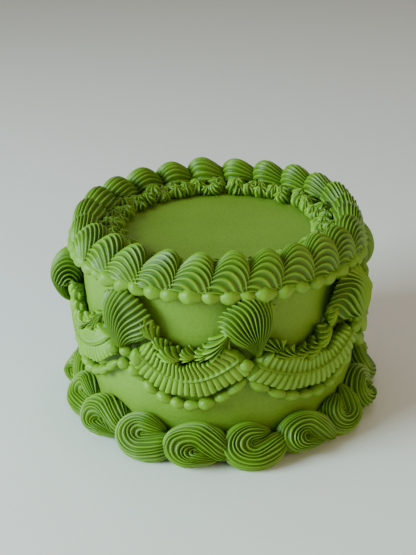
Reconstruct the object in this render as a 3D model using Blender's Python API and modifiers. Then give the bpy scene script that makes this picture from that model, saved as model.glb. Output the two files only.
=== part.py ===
"""A round cake iced and piped all over in buttercream, one layer of piping on the next.

A smooth drum carries rings of shells at its top and foot, a ring of beads under
the top shells, and seven swags of garland, double ruffle and beads that hang
between seven upright fan shells. Metres, +Z up, the cake stands on z = 0 and its
axis is the Z axis. Angles run from the front (-Y) towards the right (+X).
"""

import math

import bmesh
import bpy

# The drum
CAKE_RADIUS = 0.076
CAKE_HEIGHT = 0.0965
EDGE_ROUNDING = 0.003
DRUM_SIDES = 54
CUTTER_SIDES = 48
GAP = 0.0003

# How far a piece on the wall stands off it, so that the drum's flat sides clear it too
STAND_OFF = GAP + 0.0002

# The shells round the rim
RIM_SHELLS = 25
FIRST_RIM_EDGE = math.radians(9.3)
RIM_FRONT_PACKING = math.radians(5.0)
RIM_BACK_SHIFT = math.radians(3.5)
RIM_RADIUS = 0.0722
RIM_HALF_WIDTH = 0.0124
RIM_HALF_LENGTH = 0.0132
RIM_RISE = 0.0172
RIM_CENTRE_HEIGHT = 0.0990
RIM_DEPTH = 0.0060
RIM_TAIL_DROP = 0.0030
RIM_OVERHANG_HEIGHT = 0.0988
RIM_SEAT_RADIUS = 0.0750
RIM_SEAT_SLOPE = 0.0020
RIM_FOOT_RADIUS = 0.0602
RIM_FOOT_LEAN = 0.0006
RIM_HEAD_LEAD = 0.16

# The small stars at the inner foot of the rim
INNER_STARS = 30
INNER_RADIUS = 0.0570
INNER_HALF_WIDTH = 0.0046
INNER_RISE = 0.0062

# The beads under the rim
RIM_BEADS = 53
RIM_BEAD_HEIGHT = 0.0940
RIM_BEAD_HALF_HEIGHT = 0.0043
RIM_BEAD_DEPTH = 0.0076

# A bead's neck, head and tail
BEAD_STATIONS = 3

# The fans and the swags between them
SWAGS = 7
FIRST_FAN_ANGLE = math.radians(-39.5)
FAN_TOP_HEIGHT = 0.0925
FAN_TAIL_HEIGHT = 0.0565
FAN_HALF_WIDTH = 0.0150
FAN_DEPTH = 0.0130
DEEPEST_FAN = 6
DEEPEST_FAN_SHARE = 1.3

GARLAND_SHELLS = 7
GARLAND_SPAN = math.radians(17.5)
GARLAND_MID_HEIGHT = 0.0625
GARLAND_END_RISE = 0.0155
GARLAND_HALF_WIDTH = 0.0043
GARLAND_DEPTH = 0.0078

RUFFLE_PLEATS = 15
RUFFLE_SPAN = math.radians(21.5)
RUFFLE_MID_HEIGHT = 0.0485
RUFFLE_END_RISE = 0.0140
RUFFLE_UPPER_WIDTH = 0.0078
RUFFLE_LOWER_WIDTH = 0.0088
RUFFLE_DEPTH = 0.0082

SWAG_BEADS = 8
SWAG_BEAD_SPAN = math.radians(23.0)
SWAG_BEAD_MID_HEIGHT = 0.0325
SWAG_BEAD_END_RISE = 0.0150
SWAG_BEAD_HALF_HEIGHT = 0.0032
SWAG_BEAD_DEPTH = 0.0058

# The large shells round the foot
FOOT_SHELLS = 18
FIRST_FOOT_ANGLE = math.radians(-48.5)
FOOT_CENTRE_RADIUS = 0.0838
FOOT_CENTRE_HEIGHT = 0.0094
FOOT_LEAN = math.radians(38.0)
FOOT_CURL_RADIUS = 0.0050
FOOT_OUTER_WIDTH = 0.0086
FOOT_DEPTH = 0.0074
FOOT_EYE_LIFT = 0.72
FOOT_EYE_REACH = 0.90
FOOT_BLUNT_START = 0.11
FOOT_START_BEARING = math.radians(-5.0)
FOOT_TAIL_LENGTH = 0.0180
FOOT_STRETCH = 1.25
FOOT_WALL_RADIUS = CAKE_RADIUS + STAND_OFF + 0.0001

# Faces closer to one plane than this are merged, and edges sharper than the crease show as crisp
FLAT_ANGLE = math.radians(2.5)
CREASE_ANGLE = math.radians(38.0)

# How deep a star tip's grooves run, as a share of the piece's thickness
GROOVE = 0.16

ICING_GREEN = (0.216, 0.381, 0.068, 1.0)


def uneven(index, salt):
    """A repeatable number from -1 to 1 for one piece, so that no two are alike."""
    return math.sin(12.9898 * (index + 1) + 78.233 * salt) * math.cos(4.1414 * index + salt)


def on_cylinder(angle, across, radius, height):
    """The point at a distance across from an angle, measured along the cake's wall."""
    turned = angle + across / CAKE_RADIUS
    return (radius * math.sin(turned), -radius * math.cos(turned), height)


def clear_scene():
    """Removes what the file opened with."""
    for item in list(bpy.data.objects):
        bpy.data.objects.remove(item, do_unlink=True)


def new_collection(name):
    """A collection linked to the scene."""
    collection = bpy.data.collections.new(name)
    bpy.context.scene.collection.children.link(collection)
    return collection


def icing_material(name, roughness):
    """Satin buttercream in the cake's one green."""
    material = bpy.data.materials.new(name)
    material.use_nodes = True
    shader = material.node_tree.nodes["Principled BSDF"]
    shader.inputs["Base Color"].default_value = ICING_GREEN
    shader.inputs["Roughness"].default_value = roughness
    shader.inputs["Metallic"].default_value = 0.0
    return material


def add_object(name, mesh, collection, material=None):
    """An object with the mesh, its material and smooth shading with crisp edges."""
    if material is not None:
        mesh.materials.append(material)
    mesh.shade_smooth()
    mesh.set_sharp_from_angle(angle=CREASE_ANGLE)
    item = bpy.data.objects.new(name, mesh)
    collection.objects.link(item)
    return item


def ribbed_ball(name, sides, rings, form, collection, material=None):
    """A ball whose meridians are crests and grooves by turns, laid out by form.

    form takes how far a point lies from tail to head, 0 to 1, the angle round
    that way, 0 at the face that shows, and 1 on a crest or 0 in a groove.
    """
    mesh = bpy.data.meshes.new(name)
    ball = bmesh.new()
    bmesh.ops.create_uvsphere(ball, u_segments=sides, v_segments=rings, radius=1.0)
    for vert in ball.verts:
        along = math.acos(max(-1.0, min(1.0, -vert.co.z))) / math.pi
        around = math.atan2(vert.co.y, vert.co.x)
        meridian = round(around / (2.0 * math.pi / sides))
        vert.co = form(along, around, 1.0 - abs(meridian) % 2)
    close_mesh(ball, mesh, name)
    return add_object(name, mesh, collection, material)


def ring_stroke(name, sides, steps, form, collection, material=None):
    """A closed ring of sections, laid out by form.

    form takes the angle round the cake, the angle round the section, 0 at the
    face that shows, and the number of the step round the cake.
    """
    bpy.ops.mesh.primitive_torus_add(major_segments=steps, minor_segments=sides,
                                     major_radius=1.0, minor_radius=0.25)
    item = bpy.context.object
    mesh = item.data
    bpy.data.objects.remove(item, do_unlink=True)
    ring = bmesh.new()
    ring.from_mesh(mesh)
    for vert in ring.verts:
        turned = math.atan2(vert.co.y, vert.co.x) % (2.0 * math.pi)
        around = math.atan2(vert.co.z, math.hypot(vert.co.x, vert.co.y) - 1.0)
        vert.co = form(turned, around, round(turned / (2.0 * math.pi / steps)) % steps)
    close_mesh(ring, mesh, name)
    return add_object(name, mesh, collection, material)


def close_mesh(work, mesh, name):
    """Writes the worked mesh back as triangles that face out."""
    bmesh.ops.triangulate(work, faces=work.faces)
    if work.calc_volume(signed=True) < 0.0:
        bmesh.ops.reverse_faces(work, faces=work.faces)
    work.to_mesh(mesh)
    work.free()
    mesh.name = name


def swell(along, tail_power, head_power):
    """Thickness from tail to head, 0 at both ends: the higher the power, the sharper the end."""
    power = tail_power + (head_power - tail_power) * along
    return math.sin(math.pi * along) ** power if 0.0 < along < 1.0 else 0.0


def faced(around, pull=0.5):
    """Draws the meridians together on the face that shows, where the ridges are."""
    return around - pull * math.sin(around)


def lathe(name, profile, steps, collection, material=None):
    """A turned solid or ring from a profile of radius and height, top to bottom."""
    mesh = bpy.data.meshes.new(name)
    outline = bmesh.new()
    verts = [outline.verts.new((radius, 0.0, height)) for radius, height in profile]
    closed = profile[0][0] > 0.0
    count = len(verts) if closed else len(verts) - 1
    for index in range(count):
        outline.edges.new((verts[index], verts[(index + 1) % len(verts)]))
    outline.to_mesh(mesh)
    outline.free()
    item = bpy.data.objects.new(name, mesh)
    collection.objects.link(item)
    screw = item.modifiers.new("Turn", "SCREW")
    screw.steps = steps
    screw.render_steps = steps
    screw.use_merge_vertices = True
    screw.merge_threshold = 0.00001
    turned = evaluated_mesh(item)
    bpy.data.objects.remove(item, do_unlink=True)
    bpy.data.meshes.remove(mesh)
    turned.name = name
    return add_object(name, turned, collection, material)


def evaluated_mesh(item):
    """A new mesh with the object's modifiers applied."""
    graph = bpy.context.evaluated_depsgraph_get()
    return bpy.data.meshes.new_from_object(item.evaluated_get(graph))


def apply_modifiers(item):
    """Replaces the object's mesh with its evaluated one."""
    mesh = evaluated_mesh(item)
    old = item.data
    item.modifiers.clear()
    item.data = mesh
    mesh.name = old.name
    bpy.data.meshes.remove(old)


def union_all(name, pieces, collection, material):
    """Joins overlapping pieces into one closed solid."""
    group = new_collection(name + "_pieces")
    first = pieces[0]
    for piece in pieces[1:]:
        for owner in list(piece.users_collection):
            owner.objects.unlink(piece)
        group.objects.link(piece)
    join = first.modifiers.new("Join", "BOOLEAN")
    join.operation = "UNION"
    join.operand_type = "COLLECTION"
    join.collection = group
    join.solver = "EXACT"
    apply_modifiers(first)
    for piece in pieces[1:]:
        bpy.data.objects.remove(piece, do_unlink=True)
    bpy.data.collections.remove(group)
    first.name = name
    first.data.name = name
    first.data.materials.clear()
    first.data.materials.append(material)
    for owner in list(first.users_collection):
        owner.objects.unlink(first)
    collection.objects.link(first)
    return first


def cut(item, cutter):
    """Takes the cutter's shape out of the object."""
    trim = item.modifiers.new("Trim", "BOOLEAN")
    trim.operation = "DIFFERENCE"
    trim.object = cutter
    trim.solver = "EXACT"
    apply_modifiers(item)


def simplify(item):
    """Merges the flat scraps that joining and cutting leave, and closes the mesh up as triangles again."""
    work = bmesh.new()
    work.from_mesh(item.data)
    bmesh.ops.dissolve_limit(work, angle_limit=FLAT_ANGLE, verts=work.verts, edges=work.edges)
    close_mesh(work, item.data, item.name)


def rim_edges():
    """The angles where one rim shell's head covers the next one's tail, closer at the front."""
    edges = []
    for index in range(RIM_SHELLS):
        even = FIRST_RIM_EDGE + 2.0 * math.pi * index / RIM_SHELLS
        edges.append(even - RIM_FRONT_PACKING * math.sin(even) - RIM_BACK_SHIFT * (1.0 - math.cos(even)))
    return edges


def rim_shell(index, angle, spacing, scratch):
    """One shell lying along the rim, its tail to the left under the last one's head."""
    size = 1.0 + 0.06 * uneven(index, 1)
    half_length = RIM_HALF_LENGTH * spacing / (2.0 * math.pi / RIM_SHELLS)
    shift = 0.0006 * uneven(index, 2)

    def form(along, around, crest):
        face = faced(around, 0.4)
        thickness = swell(along, 1.3, 0.5) * (1.0 - GROOVE * (1.0 - crest))
        across = half_length * (RIM_HEAD_LEAD * math.sin(math.pi * along) - math.cos(math.pi * along))
        radius = RIM_RADIUS + shift + RIM_HALF_WIDTH * size * thickness * math.sin(face)
        rise = RIM_RISE * size if math.cos(face) > 0.0 else RIM_DEPTH
        tail_drop = RIM_TAIL_DROP * (1.0 - along)
        height = RIM_CENTRE_HEIGHT - tail_drop + rise * thickness * math.cos(face)
        return on_cylinder(angle, across * CAKE_RADIUS / RIM_RADIUS, radius, height)

    return ribbed_ball(f"rim_piece_{index}", 14, 5, form, scratch)


def make_rim(collection, scratch, material):
    """The rope of large shells that lies on the cake's edge."""
    edges = rim_edges()
    pieces = []
    for index in range(RIM_SHELLS):
        end = edges[(index + 1) % RIM_SHELLS] + (2.0 * math.pi if index == RIM_SHELLS - 1 else 0.0)
        middle = 0.5 * (edges[index] + end)
        pieces.append(rim_shell(index, middle, end - edges[index], scratch))
    rim = union_all("top_shell_border", pieces, collection, material)
    seat = CAKE_HEIGHT + GAP
    under = lathe("rim_seat", [
        (0.110, RIM_OVERHANG_HEIGHT), (0.110, 0.080), (0.040, 0.080), (0.040, 0.130),
        (RIM_FOOT_RADIUS - RIM_FOOT_LEAN, 0.130), (RIM_FOOT_RADIUS, seat), (RIM_SEAT_RADIUS, seat),
        (RIM_SEAT_RADIUS + RIM_SEAT_SLOPE, RIM_OVERHANG_HEIGHT)], CUTTER_SIDES, scratch)
    cut(rim, under)
    simplify(rim)
    return rim


def inner_station(place, phase):
    """Thickness of the inner ring where a small star swells, 1, or gives way to the next, 0."""
    size = 1.0 + 0.16 * uneven(place, 5)
    return size if phase else 0.62 * size


def make_inner_stars(collection, material):
    """The ring of small stars on the cake's top, pressed against the rim's inner foot."""
    sides = 5
    limit = RIM_FOOT_RADIUS - RIM_FOOT_LEAN - GAP

    def form(turned, around, step):
        place, phase = divmod(step, 2)
        swelling = inner_station(place, phase)
        corner = round(around / (2.0 * math.pi / sides)) % 2
        swelling *= 1.0 - 0.2 * corner
        radius = min(limit, INNER_RADIUS + INNER_HALF_WIDTH * swelling * math.sin(around))
        rise = max(0.0, INNER_RISE * swelling * math.cos(around))
        return on_cylinder(turned, 0.0, radius, CAKE_HEIGHT + GAP + rise)

    ring = ring_stroke("inner_star_border", sides, 2 * INNER_STARS, form, collection, material)
    simplify(ring)
    return ring


def bead_outline(phase, place, salt):
    """How far along its spacing a bead's neck, head or tail lies, and how thick it is there."""
    size = 1.0 + 0.08 * uneven(place, salt)
    return [(0.0, 0.45), (0.22, size), (0.62, 0.88 * size)][phase]


def bead_point(around, swelling, half_height, depth):
    """A point of a bead's round section: distance along its height, and out from the wall."""
    out = STAND_OFF + 0.5 * depth * (1.0 + swelling * math.cos(around))
    return half_height * swelling * math.sin(around), out


def make_rim_beads(collection, material):
    """The ring of beads on the wall, just under the rim's shells."""
    spacing = 2.0 * math.pi / RIM_BEADS

    def form(turned, around, step):
        place, phase = divmod(step, BEAD_STATIONS)
        lag, swelling = bead_outline(phase, place, 8)
        lengthwise, out = bead_point(around, swelling, RIM_BEAD_HALF_HEIGHT, RIM_BEAD_DEPTH)
        angle = spacing * (place + lag + 0.10 * uneven(place, 7))
        return on_cylinder(angle, 0.0, CAKE_RADIUS + out, RIM_BEAD_HEIGHT + lengthwise)

    return ring_stroke("top_bead_border", 5, BEAD_STATIONS * RIM_BEADS, form, collection, material)


def fan_shell(name, index, angle, grow, collection, material=None):
    """One upright fan: its tail points down, its broad head rises under the beads."""
    lean = 0.0012 * uneven(index, 9)
    size = 1.0 + 0.04 * uneven(index, 10)
    depth = FAN_DEPTH * (DEEPEST_FAN_SHARE if index == DEEPEST_FAN else 1.0)

    def form(along, around, crest):
        face = faced(around)
        thickness = swell(along, 1.5, 0.30) * (1.0 - GROOVE * (1.0 - crest)) * size
        more = grow if 0.0 < along < 1.0 else 0.0
        rise = 0.5 - 0.5 * math.cos(math.pi * along ** 0.8)
        level = FAN_TAIL_HEIGHT + (FAN_TOP_HEIGHT - FAN_TAIL_HEIGHT) * rise + grow * (2.0 * rise - 1.0)
        across = (FAN_HALF_WIDTH * thickness + more) * math.sin(face) + lean * rise
        out = STAND_OFF + max(0.0, (depth * thickness + more) * math.cos(face)) - grow
        return on_cylinder(angle, across, CAKE_RADIUS + out, level)

    return ribbed_ball(name, 14, 6, form, collection, material)


def make_fans(collection, scratch, material):
    """The seven upright fans, kept clear of the beads above them."""
    bead_low = RIM_BEAD_HEIGHT - 1.16 * RIM_BEAD_HALF_HEIGHT - GAP
    bead_out = CAKE_RADIUS + 1.08 * RIM_BEAD_DEPTH + GAP + 0.0004
    keep_off = lathe("fan_limit", [
        (bead_out, 0.120), (bead_out, bead_low + 0.003), (bead_out - 0.003, bead_low),
        (0.060, bead_low), (0.060, 0.120)], CUTTER_SIDES, scratch)
    fans = []
    for index in range(SWAGS):
        fan = fan_shell(f"fan_shell_{index + 1}", index, fan_angle(index), 0.0, collection, material)
        cut(fan, keep_off)
        simplify(fan)
        fans.append(fan)
    return fans


def fan_angle(index):
    """Where a fan stands."""
    return FIRST_FAN_ANGLE + 2.0 * math.pi * index / SWAGS


def swag_angle(index):
    """The middle of the swag to the right of a fan."""
    return fan_angle(index) + math.pi / SWAGS


def sagging(share, middle, end_rise):
    """The height of a swag's line, from one end, -1, through its middle, 0, to the other, 1."""
    return middle + end_rise * share * share


def sag_slope(share, end_rise, span):
    """The angle of that line to the horizontal."""
    return math.atan(2.0 * end_rise * share / (span * CAKE_RADIUS))


def swag_place(index, share, middle, end_rise, span, width, out):
    """A point of a swag: its share along the line, distance across the line and out from the wall."""
    tilt = sag_slope(share, end_rise, span)
    level = sagging(share, middle, end_rise)
    return on_cylinder(swag_angle(index) + span * share, -width * math.sin(tilt),
                       CAKE_RADIUS + out, level + width * math.cos(tilt))


def make_garland(index, fans, collection, material):
    """The line of small star shells along a swag's top, their heads up the line to the left."""
    sides = 5
    rings = 2 * GARLAND_SHELLS + 1

    def form(along, around, crest):
        station = round(along * rings)
        place, phase = divmod(station - 1, 2)
        size = 1.0 + 0.10 * uneven(index * GARLAND_SHELLS + place, 11)
        swelling = (0.50 if phase else size) * (1.0 - 0.22 * (1.0 - crest))
        share = -1.0 + 2.0 * (place + 0.2 + 0.65 * phase) / GARLAND_SHELLS
        if station in (0, rings):
            swelling = 0.0
            share = -1.0 if station == 0 else 1.0
        width = GARLAND_HALF_WIDTH * swelling * math.sin(around)
        out = STAND_OFF + max(0.0, GARLAND_DEPTH * swelling * math.cos(around))
        return swag_place(index, share, GARLAND_MID_HEIGHT, GARLAND_END_RISE, GARLAND_SPAN, width, out)

    garland = ribbed_ball(f"star_garland_{index + 1}", sides, rings, form, collection, material)
    trim_by_fans(garland, index, fans)
    return garland


def ruffle_section(crest):
    """The ribbon's outline in distance along the swag's width and out from the wall.

    It runs from the line between the two ruffles to the lower lip, back to the
    wall and up to the upper edge.
    """
    wall = STAND_OFF
    fold = RUFFLE_DEPTH if crest else RUFFLE_DEPTH - 0.0020
    upper = RUFFLE_UPPER_WIDTH if crest else RUFFLE_UPPER_WIDTH - 0.0010
    lower = RUFFLE_LOWER_WIDTH if crest else RUFFLE_LOWER_WIDTH - 0.0010
    return [(0.0, fold), (-lower, fold - 0.0006), (-0.3 * lower, wall), (upper, 0.45 * fold)]


def make_ruffle(index, fans, collection, material):
    """One double ruffle: a pleated ribbon that hangs in a swag."""
    sections = [ruffle_section(False), ruffle_section(True)]
    sides = len(sections[0])
    rings = 2 * RUFFLE_PLEATS + 2

    def form(along, around, crest):
        station = round(along * rings)
        corner = round(around / (2.0 * math.pi / sides)) % sides
        width, out = sections[station % 2][corner]
        if station in (0, rings):
            width, out = (0.0, 0.4 * RUFFLE_DEPTH)
        return swag_place(index, -1.0 + 2.0 * along, RUFFLE_MID_HEIGHT, RUFFLE_END_RISE,
                          RUFFLE_SPAN, width, out)

    ruffle = ribbed_ball(f"ruffle_swag_{index + 1}", sides, rings, form, collection, material)
    trim_by_fans(ruffle, index, fans)
    return ruffle


def make_bead_swag(index, fans, collection, material):
    """The beads that hang under a ruffle."""
    sides = 5
    rings = BEAD_STATIONS * SWAG_BEADS

    def form(along, around, crest):
        station = round(along * rings)
        place, phase = divmod(station, BEAD_STATIONS)
        lag, swelling = bead_outline(phase, index * SWAG_BEADS + place, 12)
        if station in (0, rings):
            swelling = 0.0
        width, out = bead_point(around, swelling, SWAG_BEAD_HALF_HEIGHT, SWAG_BEAD_DEPTH)
        share = min(1.0, -1.0 + 2.0 * (place + lag) / SWAG_BEADS)
        return swag_place(index, share, SWAG_BEAD_MID_HEIGHT, SWAG_BEAD_END_RISE, SWAG_BEAD_SPAN,
                          width, out)

    swag = ribbed_ball(f"bead_swag_{index + 1}", sides, rings, form, collection, material)
    trim_by_fans(swag, index, fans)
    return swag


def trim_by_fans(item, index, fans):
    """Keeps a swag's piece clear of the fan at each of its ends."""
    cut(item, fans[index])
    cut(item, fans[(index + 1) % SWAGS])
    simplify(item)


def foot_shell(index, angle, scratch):
    """One large shell on the corner of wall and board, curled once round an eye.

    The stroke starts beside the eye, goes over it or under it by turns, round its
    left side and back, and runs off to the right as a tail.
    """
    turn = 1.0 if index % 2 else -1.0
    size = 1.0 + 0.05 * uneven(index, 13)
    curl = FOOT_CURL_RADIUS * size
    start = FOOT_START_BEARING
    arc_length = curl * (1.5 * math.pi - start)
    total = arc_length + FOOT_TAIL_LENGTH

    def form(along, around, crest):
        face = faced(around)
        travelled = total * max(0.0, along - FOOT_BLUNT_START) / (1.0 - FOOT_BLUNT_START)
        if travelled < arc_length:
            bearing = start + travelled / curl
            centre = (curl * math.cos(bearing), curl * math.sin(bearing))
            outward = (math.cos(bearing), math.sin(bearing))
        else:
            centre = (travelled - arc_length, -curl)
            outward = (0.0, -1.0)
        thickness = swell(along, 0.30, 0.55) * (1.0 - GROOVE * (1.0 - crest))
        side = math.sin(face)
        bulge = math.cos(face)
        reach = FOOT_OUTER_WIDTH * size * thickness
        if side < 0.0:
            reach = FOOT_EYE_REACH * curl
            bulge = max(bulge, FOOT_EYE_LIFT) if bulge > 0.0 else bulge
        across = FOOT_STRETCH * (centre[0] + outward[0] * reach * side)
        climb = turn * (centre[1] + outward[1] * reach * side)
        lift = FOOT_DEPTH * size * thickness * bulge
        radius = FOOT_CENTRE_RADIUS - climb * math.sin(FOOT_LEAN) + lift * math.cos(FOOT_LEAN)
        height = FOOT_CENTRE_HEIGHT + climb * math.cos(FOOT_LEAN) + lift * math.sin(FOOT_LEAN)
        return on_cylinder(angle, across * CAKE_RADIUS / FOOT_CENTRE_RADIUS,
                           max(radius, FOOT_WALL_RADIUS), max(height, 0.0))

    return ribbed_ball(f"foot_piece_{index}", 10, 8, form, scratch)


def make_foot(collection, scratch, material):
    """The ring of large curled shells that stands round the cake's foot."""
    step = 2.0 * math.pi / FOOT_SHELLS
    pieces = [foot_shell(index, FIRST_FOOT_ANGLE + step * index, scratch) for index in range(FOOT_SHELLS)]
    foot = union_all("bottom_shell_border", pieces, collection, material)
    simplify(foot)
    return foot


def make_drum(collection, material):
    """The iced cake itself: a smooth drum with a softened upper edge."""
    profile = [(0.0, CAKE_HEIGHT), (CAKE_RADIUS - EDGE_ROUNDING, CAKE_HEIGHT),
               (CAKE_RADIUS, CAKE_HEIGHT - EDGE_ROUNDING), (CAKE_RADIUS, 0.0), (0.0, 0.0)]
    return lathe("cake_body", profile, DRUM_SIDES, collection, material)


def hide_cutters(scratch):
    """Leaves the cutting shapes as wires that don't render."""
    for item in scratch.objects:
        item.hide_render = True
        item.display_type = "WIRE"


def main():
    """Builds the cake."""
    clear_scene()
    cake = new_collection("lambeth_cake")
    scratch = new_collection("cutters")
    smooth_icing = icing_material("smooth_icing", 0.55)
    piped_icing = icing_material("piped_icing", 0.45)
    make_drum(cake, smooth_icing)
    make_rim(cake, scratch, piped_icing)
    make_inner_stars(cake, piped_icing)
    make_rim_beads(cake, piped_icing)
    make_fans(cake, scratch, piped_icing)
    grown_fans = [fan_shell(f"fan_clearance_{index}", index, fan_angle(index), 2.0 * GAP, scratch)
                  for index in range(SWAGS)]
    for index in range(SWAGS):
        make_garland(index, grown_fans, cake, piped_icing)
        make_ruffle(index, grown_fans, cake, piped_icing)
        make_bead_swag(index, grown_fans, cake, piped_icing)
    make_foot(cake, scratch, piped_icing)
    hide_cutters(scratch)


main()
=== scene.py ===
"""A round cake iced and piped all over in one green buttercream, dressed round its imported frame.

A smooth drum stands inside rings of piped shells, beads, fans, garlands and ruffles.
Every piece is laid out in metres in the frame's own axes: +Z up, -Y the front. Angles
run from the front towards the right.
"""

import logging
import math
from dataclasses import dataclass, field
from enum import Enum
from typing import Callable, Optional, Sequence, Union

import bpy
import numpy as np
from mathutils import Matrix, Vector


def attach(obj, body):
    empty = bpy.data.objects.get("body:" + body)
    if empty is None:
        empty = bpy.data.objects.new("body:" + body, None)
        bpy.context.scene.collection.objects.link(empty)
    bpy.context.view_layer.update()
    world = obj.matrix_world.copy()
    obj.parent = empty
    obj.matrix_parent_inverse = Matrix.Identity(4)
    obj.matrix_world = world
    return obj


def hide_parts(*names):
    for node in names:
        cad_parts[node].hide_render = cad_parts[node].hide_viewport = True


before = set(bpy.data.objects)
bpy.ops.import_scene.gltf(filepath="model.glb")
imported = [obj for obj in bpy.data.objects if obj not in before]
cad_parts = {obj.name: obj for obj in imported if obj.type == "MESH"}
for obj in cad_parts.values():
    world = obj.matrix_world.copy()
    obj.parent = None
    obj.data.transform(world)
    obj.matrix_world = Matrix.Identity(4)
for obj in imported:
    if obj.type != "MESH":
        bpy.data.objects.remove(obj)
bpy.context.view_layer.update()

log = logging.getLogger("cake")

Array = np.ndarray
Amount = Union[float, Array]
Form = Callable[[Array, Array, Array], Array]
Item = bpy.types.Object
Triple = tuple[float, float, float]
Quad = tuple[float, float, float, float]
Value = Union["Signal", float]
Filling = Union["Signal", float, Sequence[float]]

ROOT = "root"
CAKE_RADIUS = 0.076
CAKE_TOP = 0.0965
SWAGS = 7
FAN_STEP = 2.0 * math.pi / SWAGS
FIRST_FAN = math.radians(-39.5)
PINCH_ANGLE = math.radians(88.0)
PINCH_SPREAD = math.radians(19.0)
SHADE_REACH = 0.0042
STAND_OFF = 0.0004
# Vertex attribute of painted light: pale on crests as painted highlights, dark in grooves and near the wall
# as painted shade.
PAINTED_LIGHT_LAYER = "ridge"


class Slot(Enum):
    """The record's material slots."""

    SMOOTH = "smooth_icing"
    PIPED = "piped_icing"


class Curl(Enum):
    """Which way a foot shell's stroke runs round its eye."""

    OVER = -1.0
    UNDER = 1.0


# Small helpers for meshes and forms


def uneven(index: float, salt: float) -> float:
    """A repeatable number from -1 to 1 for one piece, so that no two are alike."""
    return math.sin(12.9898 * (index + 1) + 78.233 * salt) * math.cos(4.1414 * index + salt)


def deselect() -> None:
    """Leaves nothing selected."""
    for item in bpy.context.selected_objects:
        item.select_set(False)


def pick(item: Item) -> None:
    """Selects one object alone and makes it active."""
    deselect()
    item.select_set(True)
    bpy.context.view_layer.objects.active = item


def positions(item: Item) -> Array:
    """The object's vertices as an array of three columns."""
    flat = np.empty(3 * len(item.data.vertices))
    item.data.vertices.foreach_get("co", flat)
    return flat.reshape(-1, 3)


def lay_out(item: Item, points: Array) -> None:
    """Moves the object's vertices to the points."""
    item.data.vertices.foreach_set("co", np.ascontiguousarray(points, dtype=np.float64).ravel())
    item.data.update()


def volume(item: Item) -> float:
    """The volume that the object's faces close, negative where they face in."""
    mesh = item.data
    mesh.calc_loop_triangles()
    corners = np.empty(3 * len(mesh.loop_triangles), dtype=np.int64)
    mesh.loop_triangles.foreach_get("vertices", corners)
    a, b, c = (positions(item)[corners.reshape(-1, 3)[:, side]] for side in range(3))
    return float(np.einsum("ij,ij->i", a, np.cross(b, c)).sum()) / 6.0


def face_out(item: Item) -> None:
    """Turns the object's faces outwards."""
    if volume(item) < 0.0:
        pick(item)
        bpy.ops.object.mode_set(mode="EDIT")
        bpy.ops.mesh.select_all(action="SELECT")
        bpy.ops.mesh.flip_normals()
        bpy.ops.object.mode_set(mode="OBJECT")


def store(item: Item, name: str, values: Array) -> None:
    """Keeps a number at each vertex under the name."""
    layer = item.data.attributes.new(name, "FLOAT", "POINT")
    layer.data.foreach_set("value", np.ascontiguousarray(values, dtype=np.float32))


def join(name: str, items: Sequence[Item]) -> Item:
    """Joins the objects into one piece of that name."""
    deselect()
    for item in items:
        item.select_set(True)
    piece = bpy.context.view_layer.objects.active = items[0]
    bpy.ops.object.join()
    piece.name = name
    piece.data.name = name
    return piece


def round_the_cake(angle: Amount, across: Array, radius: Array, height: Array) -> Array:
    """The points at a distance across from an angle, measured along the cake's wall."""
    turned = angle + across / CAKE_RADIUS
    level = np.broadcast_to(height, np.shape(turned))
    return np.stack([radius * np.sin(turned), -radius * np.cos(turned), level], axis=-1)


def held(value: Array) -> Array:
    """The value held between 0 and 1."""
    return np.clip(value, 0.0, 1.0)


def progress(value: Array, start: float, end: float) -> Array:
    """How far the value has come from the start to the end, held between 0 and 1."""
    return held((value - start) / (end - start))


def arch(share: Array, power: Amount) -> Array:
    """Rises from 0 to 1 and falls to 0 again: the lower the power, the blunter."""
    return held(np.sin(np.pi * share)) ** power


def drawn_together(around: Array, pull: float) -> Array:
    """Draws a section's points towards the face that shows, where the ridges are."""
    return around - pull * np.sin(around)


def pinched(angle: float) -> float:
    """How far the rim is drawn in at an angle: 1 at the right of the cake, 0 away from there."""
    return math.exp(-((angle - PINCH_ANGLE) / PINCH_SPREAD) ** 2)


def painted_wall_shade(points: Array) -> Array:
    """Painted shade: how far points stand out of the shade painted at the cake's wall, from 0 at the wall to
    1 a few millimetres off it.
    """
    reach = np.hypot(points[:, 0], points[:, 1])
    return progress(reach, CAKE_RADIUS, CAKE_RADIUS + SHADE_REACH) ** 0.8


def swell(along: Array, tail_power: float, head_power: float) -> Array:
    """Thickness along a stroke, 0 at both ends: the higher the power, the sharper the end."""
    return arch(along, tail_power + (head_power - tail_power) * along)


@dataclass(frozen=True)
class Tip:
    """The star tip that a stroke is piped through.

    Args:
        ridges: how many ridges it draws round a stroke.
        depth: how deep its grooves are, as a share of the stroke's thickness.
        crispness: how thin a ridge is beside its groove.
        columns: columns of vertices for each ridge.
    """

    ridges: int
    depth: float
    crispness: float = 2.4
    columns: int = 6

    @property
    def sides(self) -> int:
        """How many columns of vertices run round a stroke."""
        return self.ridges * self.columns

    def crest(self, around: Array) -> Array:
        """1 on a ridge, down to 0 in the middle of a groove."""
        turn = around * self.ridges / (2.0 * np.pi)
        return np.abs(2.0 * (turn - np.floor(turn)) - 1.0) ** self.crispness

    def cut(self, crest: Array, share: Amount = 1.0) -> Array:
        """How thick a stroke is: 1 on a ridge, and less in a groove by a share of its depth."""
        return 1.0 - share * self.depth * (1.0 - crest)


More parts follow.
